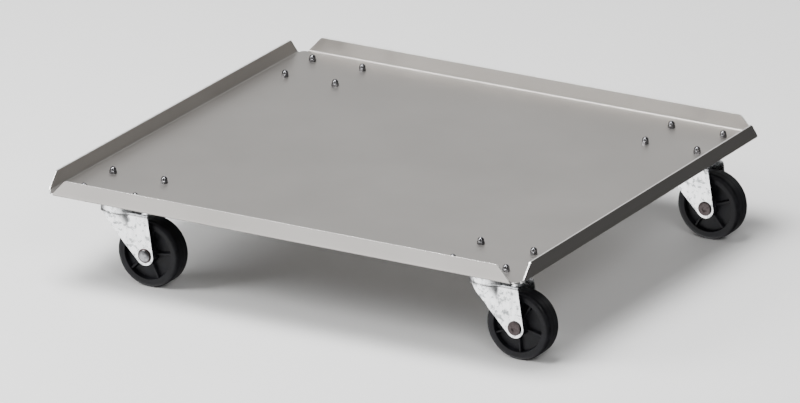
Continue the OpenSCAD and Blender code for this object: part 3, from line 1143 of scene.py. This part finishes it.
@dataclass(frozen=True)
class Caster:
    """One swivel caster: its plate, swivel head, fork, axle, wheel and fasteners."""

    corner: Corner
    swivel: Array
    axle: Array
    materials: Materials
    dome_h: float = 2.8
    flat_h: float = 2.0
    sleeve_wall: float = 2.0
    side_washer_t: float = 1.4
    hub_proud: float = 3.0
    plate_gauge: float = 2.5
    plate_corner_r: float = 10.0
    plate_hole_r: float = 5.2
    pin_r: float = 5.0
    bolt_r: float = 2.5
    bolt_head_h: float = 3.5
    washer_r: float = 5.0
    washer_bore_r: float = 2.75
    washer_t: float = 1.0
    nut_hexagon_h: float = 3.6
    fit_gap: float = 0.05

    @property
    def leg_out(self) -> float:
        """Distance of the fork's outer faces from its middle plane: what the rivet's two heads leave."""
        return (self.span("axle").size[1] - self.dome_h - self.flat_h) / 2

    @classmethod
    def at(cls, corner: Corner, materials: Materials) -> "Caster":
        """The caster at a corner, placed by its two joints.

        Args:
            corner: The tray's corner.
            materials: The finishes.

        Returns:
            The caster, ready to build.
        """
        return cls(
            corner,
            joint_place(f"{corner.value}_swivel"),
            joint_place(f"{corner.value}_roll"),
            materials,
        )

    def node(self, piece: str) -> str:
        """Name of one of this caster's CAD nodes."""
        return f"{self.corner.value}_{piece}"

    def span(self, piece: str) -> Span:
        """Box of one of this caster's CAD nodes."""
        return Span.of(self.node(piece))

    def finish(
        self, piece: bpy.types.Object, materials: list[bpy.types.Material], group: str, node: str
    ) -> None:
        """Dress a piece that stands for one of this caster's nodes.

        Args:
            piece: The object.
            materials: Its material slots.
            group: root, caster or roller: the kind of body that it rides on.
            node: The node's name without its corner.
        """
        body = "root" if group == "root" else f"{self.corner.value}_{group}"
        parts = frame["record"]["subparts"]
        slot = next(part["material_slot"] for part in parts if part["node"] == self.node(node))
        dress(piece, materials, body, slot, self.node(node))

    def upright(self) -> Array:
        """Point on the swivel axis at the height of the frame's origin."""
        return self.swivel * np.array([1.0, 1.0, 0.0])

    def make_fork(self) -> None:
        """The pressed fork with its ball race."""
        span, crown = self.span("fork"), self.span("upper_balls")
        reach = -(span.low[0] - self.swivel[0])
        fork = Fork(
            leg_out=self.leg_out,
            crown_r=reach,
            crown_top=crown.low[2] + 0.5,
            race_top=span.high[2],
            trail=self.axle[0] - self.swivel[0],
            axle_z=self.axle[2],
        )
        piece = fork.skin().build(self.node("pressed_fork"), self.upright(), closed=False)
        soften(piece, 50.0)
        thicken(piece, fork.gauge)
        round_edges(piece, 0.5, segments=3)
        race = fork.race_skin().build(self.node("crown_race"), self.upright())
        soften(race)
        self.finish(piece, [self.materials.zinc], "caster", "fork")
        self.finish(race, [self.materials.zinc], "caster", "fork")

    def make_axle(self) -> None:
        """The axle rivet: a shank, a domed head ringed by painted shade and a flat end that is rolled over.
        """
        span, sleeve = self.span("axle"), self.span("sleeve")
        head_r = span.size[0] / 2
        dome_h, leg_out = self.dome_h, self.leg_out
        shank_r = sleeve.size[0] / 2 - self.sleeve_wall - self.fit_gap
        dome_r = (head_r**2 + dome_h**2) / (2 * dome_h)
        rise = np.linspace(math.asin((head_r - 0.25) / dome_r), 0.0, 14)
        dome = np.stack([dome_r * np.sin(rise), leg_out + dome_h - dome_r * (1.0 - np.cos(rise))], -1)
        collar = rounded_path(
            [(shank_r, leg_out, 0.0), (head_r, leg_out, 0.15), (head_r - 0.1, leg_out + 0.5, 0.2),
             (dome[0, 0], dome[0, 1], 0.0)]
        )
        flat_top = -leg_out - self.flat_h
        flat = rounded_path(
            [(0.0, flat_top + 0.7, 0.0), (2.0, flat_top + 0.6, 0.8), (3.4, flat_top, 0.9),
             (head_r - 2.2, flat_top + 0.05, 0.8), (head_r - 1.0, flat_top + 0.25, 0.6),
             (head_r - 0.2, -leg_out - 0.9, 0.6), (head_r, -leg_out, 0.2), (shank_r, -leg_out, 0.0)]
        )
        # The collar and the dome's outer rows take the dark rolled-end finish: painted shade, a dark ring
        # round the domed head where it sits on the leg.
        skin = Skin()
        shaded_rim_rows = 3
        bright = revolved(dome[shaded_rim_rows:], 72)
        shaded_rim = dome[1 : shaded_rim_rows + 1]
        worked_end_and_shaded_rim = revolved(np.concatenate([flat, [[shank_r, 0.0]], collar, shaded_rim]), 72)
        for grid, tag in ((bright, 0), (worked_end_and_shaded_rim, 1)):
            placed = onto_axle(grid)
            skin.add(placed if self.corner.dome_in_front else turned_round(placed), wrap=True, tag=tag)
        piece = skin.build(self.node("axle_rivet"), self.axle)
        soften(piece)
        self.finish(piece, [self.materials.rivet, self.materials.rivet_end], "caster", "axle")

    def make_sleeve_and_washers(self) -> None:
        """The spacer sleeve on the rivet, and the washer at each side of the hub."""
        sleeve, washers = self.span("sleeve"), self.span("side_washers")
        half, radius = sleeve.size[1] / 2, sleeve.size[0] / 2
        tube = turned(ring_path(radius - self.sleeve_wall, radius, -half, half, 0.2), 48)
        tube.points = [onto_axle(points) for points in tube.points]
        piece = tube.build(self.node("spacer_sleeve"), self.axle)
        soften(piece)
        self.finish(piece, [self.materials.dull_zinc], "caster", "sleeve")
        pair = Skin()
        for side in (-1.0, 1.0):
            far = side * washers.size[1] / 2
            low, high = sorted((far, far - side * self.side_washer_t))
            path = ring_path(radius + self.fit_gap, washers.size[0] / 2, low, high, 0.3)
            pair.add(onto_axle(revolved(path, 48)), wrap=True)
        piece = pair.build(self.node("hub_washers"), self.axle)
        soften(piece)
        self.finish(piece, [self.materials.dull_zinc], "caster", "side_washers")

    def make_wheel(self) -> None:
        """The moulded wheel."""
        span, sleeve = self.span("wheel"), self.span("sleeve")
        wheel = Wheel(
            radius=self.axle[2] - span.low[2],
            width=span.size[1] - 2 * self.hub_proud,
            hub_half=span.size[1] / 2,
            bore_r=sleeve.size[0] / 2 + self.fit_gap,
            rib_angle=self.corner.roll,
        )
        skin = wheel.skin()
        skin.points = [onto_axle(points) for points in skin.points]
        piece = skin.build(self.node("moulded_wheel"), self.axle)
        soften(piece, 40.0)
        self.finish(piece, [self.materials.plastic], "roller", "wheel")

    def make_plate(self) -> None:
        """The square top plate with its pressed dish: rings that go from a circle to a rounded square."""
        span = self.span("top_plate")
        half, top, gauge = span.size[0] / 2, span.high[2], self.plate_gauge
        dish_under, rim_r = span.low[2], -(self.span("fork").low[0] - self.swivel[0])
        floor_r = self.span("upper_balls").size[0] / 2 - 0.5
        turn = np.linspace(0.0, 2 * math.pi, 96, endpoint=False)
        inner = half - self.plate_corner_r
        square = half / np.maximum(np.abs(np.cos(turn)), np.abs(np.sin(turn)))
        fold = np.minimum(np.abs(np.cos(turn)), np.abs(np.sin(turn)))
        tall = np.maximum(np.abs(np.cos(turn)), np.abs(np.sin(turn)))
        dot = inner * (fold + tall)
        arc = dot + np.sqrt(np.maximum(dot**2 - 2 * inner**2 + self.plate_corner_r**2, 0.0))
        outline = np.where(square * fold > inner, np.minimum(arc, square), square)
        path = rounded_path(
            [(self.plate_hole_r, dish_under + gauge, 0.0), (floor_r - gauge, dish_under + gauge, 2.0),
             (rim_r - gauge + 0.3, top, 3.0), (rim_r + 4.0, top, 0.0)]
        )
        dish = revolved(path, len(turn))
        edge = np.stack([outline * np.cos(turn), outline * np.sin(turn), np.full_like(turn, top)], -1)
        steps = np.linspace(0.0, 1.0, 6)[1:, None, None]
        flat = dish[-1][None] * (1 - steps) + edge[None] * steps
        skin = Skin().add(np.concatenate([dish, flat]), wrap=True, flip=True)
        piece = skin.build(self.node("pressed_plate"), self.upright(), closed=False)
        soften(piece)
        thicken(piece, gauge)
        round_edges(piece, 0.3)
        self.finish(piece, [self.materials.zinc], "root", "top_plate")

    def make_head(self) -> None:
        """The kingpin and the race cup under the crown."""
        pin, cup = self.span("kingpin"), self.span("race_cup")
        head_r, shank_r = pin.size[0] / 2, self.pin_r
        low, high = pin.low[2], pin.high[2]
        under = cup.low[2]
        path = rounded_path(
            [(0.0, low + 0.6, 0.0), (2.5, low + 0.4, 1.0), (head_r - 1.8, low, 1.0), (head_r, under, 0.5),
             (shank_r, under, 0.0), (shank_r, high - 3.0, 0.0), (head_r, high - 3.0, 0.4),
             (head_r - 1.0, high, 0.8), (0.0, high, 0.0)]
        )
        piece = turned(path).build(self.node("kingpin_rivet"), self.upright())
        soften(piece)
        self.finish(piece, [self.materials.dull_zinc], "root", "kingpin")
        outer, bore_r = cup.size[0] / 2, shank_r + self.fit_gap
        path = rounded_path(
            [(bore_r, under + 1.0, 0.0), (bore_r, under + 2.0, 0.0),
             (outer - 1.6, under + 2.0, 1.2), (outer - 1.25, cup.high[2], 0.3), (outer, cup.high[2], 0.5),
             (outer, under, 1.6), (bore_r, under, 0.0), (bore_r, under + 1.0, 0.0)]
        )
        piece = turned(path).build(self.node("ball_cup"), self.upright())
        soften(piece)
        self.finish(piece, [self.materials.zinc], "root", "race_cup")

    def bolt_places(self) -> list[Array]:
        """The four bolts' axes, from the corners of the washers' box."""
        span = self.span("washers")
        reach = span.size[:2] / 2 - self.washer_r
        return [
            self.upright() + np.array([x * reach[0], y * reach[1], 0.0])
            for x in (-1.0, 1.0)
            for y in (-1.0, 1.0)
        ]

    def make_fasteners(self) -> None:
        """Cap nuts on the floor, bolts under the plate and their washers."""
        nuts, bolts, washers = self.span("cap_nuts"), self.span("bolts"), self.span("washers")
        across = nuts.size[1] - (washers.size[1] - 2 * self.washer_r)
        nut = CapNut(across, self.nut_hexagon_h, nuts.size[2], self.bolt_r + self.fit_gap)
        washer = ring_path(self.washer_bore_r, self.washer_r, 0.0, self.washer_t, 0.25)
        head_top = bolts.low[2] + self.bolt_head_h
        tip = bolts.high[2]
        groups = {"cap_nuts": Skin(), "bolts": Skin(), "washers": Skin()}
        for index, place in enumerate(self.bolt_places()):
            turn = (0.35, 0.8, 0.1, 0.55)[index]
            base = place + np.array([0.0, 0.0, nuts.low[2]])
            for grid, group in (
                (nut.skin(turn), "cap_nuts"),
                (self.bolt_skin(across, tip - head_top, turn), "bolts"),
                (turned(washer, 40), "washers"),
            ):
                shift = base if group == "cap_nuts" else place + np.array([0.0, 0.0, head_top])
                target = groups[group]
                target.points += [points + shift for points in grid.points]
                target.quads += [quads + target.count for quads in grid.quads]
                target.tags += grid.tags
                target.count += grid.count
        finishes = {
            "cap_nuts": self.materials.bright,
            "bolts": self.materials.dull_zinc,
            "washers": self.materials.zinc,
        }
        for group, skin in groups.items():
            piece = skin.build(self.node(f"{group}_set"), np.zeros(3))
            soften(piece, 30.0)
            self.finish(piece, [finishes[group]], "root", group)

    def bolt_skin(self, across: float, shank: float, turn: float) -> Skin:
        """A bolt whose head hangs below the XY plane and whose shank stands above it.

        Args:
            across: Width of the head across its flats.
            shank: Length of the shank.
            turn: How far the bolt has been turned, in radians.

        Returns:
            The closed skin.
        """
        head_h, radius = self.bolt_head_h, self.bolt_r
        sides = Hexagon(across, head_h).sides() * np.array([1.0, -1.0, -1.0])
        steps = sides.shape[1]
        top = rounded_path([(radius, 0.0, 0.0), (radius, shank, 0.5), (0.0, shank, 0.0)])
        face = np.array([[across / 2 - 0.2, -head_h], [0.0, -head_h]])
        shaft = revolved(top[::-1], steps) * np.array([1.0, -1.0, 1.0])
        under = revolved(face, steps) * np.array([1.0, -1.0, 1.0])
        c, s = math.cos(turn), math.sin(turn)
        grid = np.concatenate([shaft, sides, under])
        return Skin().add(grid @ np.array([[c, s, 0], [-s, c, 0], [0, 0, 1]]), wrap=True)

    def dress_balls(self) -> None:
        """Polish the two rings of balls, which keep their CAD shape."""
        for ring in ("upper_balls", "lower_balls"):
            balls = frame["nodes"][self.node(ring)]
            for index in range(len(balls.material_slots)):
                balls.material_slots[index].material = self.materials.bright
            LOG.info("%s: polished", balls.name)

    def make(self) -> None:
        """Build the whole caster."""
        self.make_plate()
        self.make_head()
        self.make_fork()
        self.make_axle()
        self.make_sleeve_and_washers()
        self.make_wheel()
        self.make_fasteners()
        self.dress_balls()


# ---------------------------------------------------------------------------------------------
# Studio
# ---------------------------------------------------------------------------------------------


@dataclass(frozen=True)
class Panel:
    """A soft rectangular white light that faces the frame's origin."""

    name: str
    place: tuple[float, float, float]
    size: tuple[float, float]
    power: float

    def make(self) -> None:
        """Hang the light in the scene."""
        lamp = bpy.data.lights.new(self.name, "AREA")
        lamp.shape = "RECTANGLE"
        lamp.size, lamp.size_y = self.size
        lamp.energy = self.power
        holder = bpy.data.objects.new(self.name, lamp)
        place = Vector(self.place)
        facing = place.to_track_quat("Z", "Y").to_matrix().to_4x4()
        holder.matrix_world = Matrix.Translation(place) @ facing
        bpy.context.scene.collection.objects.link(holder)


@dataclass(frozen=True)
class Studio:
    """Pale floor, soft lights and a long lens."""

    azimuth: float = 27.87
    elevation: float = 19.09
    roll: float = 0.997
    distance: float = 11.685
    lens: float = 463.14
    aim: tuple[float, float, float] = (0.0574, -0.1226, 0.0)
    floor_size: float = 160.0
    floor_colour: Colour = (0.93, 0.93, 0.925)
    dim_side: float = 0.17
    bright_side: float = 3.6
    bright_from: Colour = (-0.60, -0.70, -0.85)
    fade_start: float = 0.42
    fade_end: float = 0.91
    backdrop: float = 1.0

    def make_floor(self, height: float) -> None:
        """A wide, pale, faintly mottled floor for the wheels to stand on.

        Args:
            height: The floor's height in the frame, in metres.
        """
        half = self.floor_size / 2
        mesh = bpy.data.meshes.new("studio_floor")
        corners = [(x * half, y * half, height) for x, y in ((-1, -1), (1, -1), (1, 1), (-1, 1))]
        mesh.from_pydata(corners, [], [(0, 1, 2, 3)])
        floor = bpy.data.objects.new("studio_floor", mesh)
        bpy.context.scene.collection.objects.link(floor)
        recipe = Recipe("pale_floor")
        cloud = recipe.noise(2.0, detail=3.0)
        shade = tuple(value * 0.985 for value in self.floor_colour)
        recipe.join(recipe.ramp(cloud, [(0.3, shade), (0.7, self.floor_colour)]), "Base Color")
        recipe.set("Roughness", 0.85)
        mesh.materials.append(recipe.material)
        floor.visible_glossy = False

    def make_room(self) -> None:
        """A dim room that is bright on one side, and a pale backdrop that only the camera sees."""
        world = bpy.data.worlds.new("studio_room")
        world.use_nodes = True
        bpy.context.scene.world = world
        nodes, links = world.node_tree.nodes, world.node_tree.links
        nodes.clear()
        output = nodes.new("ShaderNodeOutputWorld")
        rays = nodes.new("ShaderNodeLightPath")
        mix = nodes.new("ShaderNodeMixShader")
        room = nodes.new("ShaderNodeBackground")
        far = nodes.new("ShaderNodeBackground")
        far.inputs["Color"].default_value = (1.0, 1.0, 1.0, 1.0)
        far.inputs["Strength"].default_value = self.backdrop
        towards = nodes.new("ShaderNodeVectorMath")
        towards.operation = "DOT_PRODUCT"
        towards.inputs[1].default_value = Vector(self.bright_from).normalized()
        links.new(nodes.new("ShaderNodeTexCoord").outputs["Object"], towards.inputs[0])
        fade = nodes.new("ShaderNodeMapRange")
        fade.interpolation_type = "SMOOTHSTEP"
        fade.inputs["From Min"].default_value = self.fade_start
        fade.inputs["From Max"].default_value = self.fade_end
        fade.inputs["To Min"].default_value = self.dim_side
        fade.inputs["To Max"].default_value = self.bright_side
        links.new(towards.outputs["Value"], fade.inputs["Value"])
        links.new(fade.outputs["Result"], room.inputs["Strength"])
        links.new(room.outputs[0], mix.inputs[1])
        links.new(far.outputs[0], mix.inputs[2])
        links.new(rays.outputs["Is Camera Ray"], mix.inputs[0])
        links.new(mix.outputs[0], output.inputs["Surface"])

    def make_lights(self) -> None:
        """Soft lights at the front left, above, at the front right and, broad and low, behind."""
        panels = (
            Panel("key_panel", place=(-2.4, -2.4, 2.0), size=(1.6, 1.4), power=110.0),
            Panel("top_panel", place=(-0.6, -0.8, 3.4), size=(2.0, 2.0), power=230.0),
            Panel("fill_panel", place=(2.6, -2.8, 2.6), size=(1.6, 1.4), power=60.0),
            Panel("back_panel", place=(-0.55, 4.0, 2.0), size=(5.4, 3.0), power=42.0),
        )
        for panel in panels:
            panel.make()

    def make_camera(self) -> None:
        """A camera on a long lens, turned by its azimuth, elevation and roll about its aim."""
        lens = bpy.data.cameras.new("studio_camera")
        lens.lens = self.lens
        lens.sensor_width = 36.0
        lens.clip_end = 300.0
        camera = bpy.data.objects.new("studio_camera", lens)
        a, e = math.radians(self.azimuth), math.radians(self.elevation)
        back = Vector((math.sin(a) * math.cos(e), -math.cos(a) * math.cos(e), math.sin(e)))
        lean = Matrix.Rotation(math.radians(self.roll), 3, "Z")
        turn = (-back).to_track_quat("-Z", "Y").to_matrix() @ lean
        place = Matrix.Translation(Vector(self.aim) + back * self.distance)
        camera.matrix_world = place @ turn.to_4x4()
        bpy.context.scene.collection.objects.link(camera)
        bpy.context.scene.camera = camera

    def make(self) -> None:
        """Set up the whole studio."""
        self.make_camera()
        self.make_room()
        self.make_lights()
        self.make_floor(float(cad_box[0][2]))


def main() -> None:
    """Build the dolly and the studio."""
    logging.basicConfig(level=logging.INFO, format="%(name)s: %(message)s")
    Studio().make()
    materials = Materials.make()
    Tray.from_frame().make(materials)
    for corner in Corner:
        Caster.at(corner, materials).make()


if __name__ == "__main__":
    main()
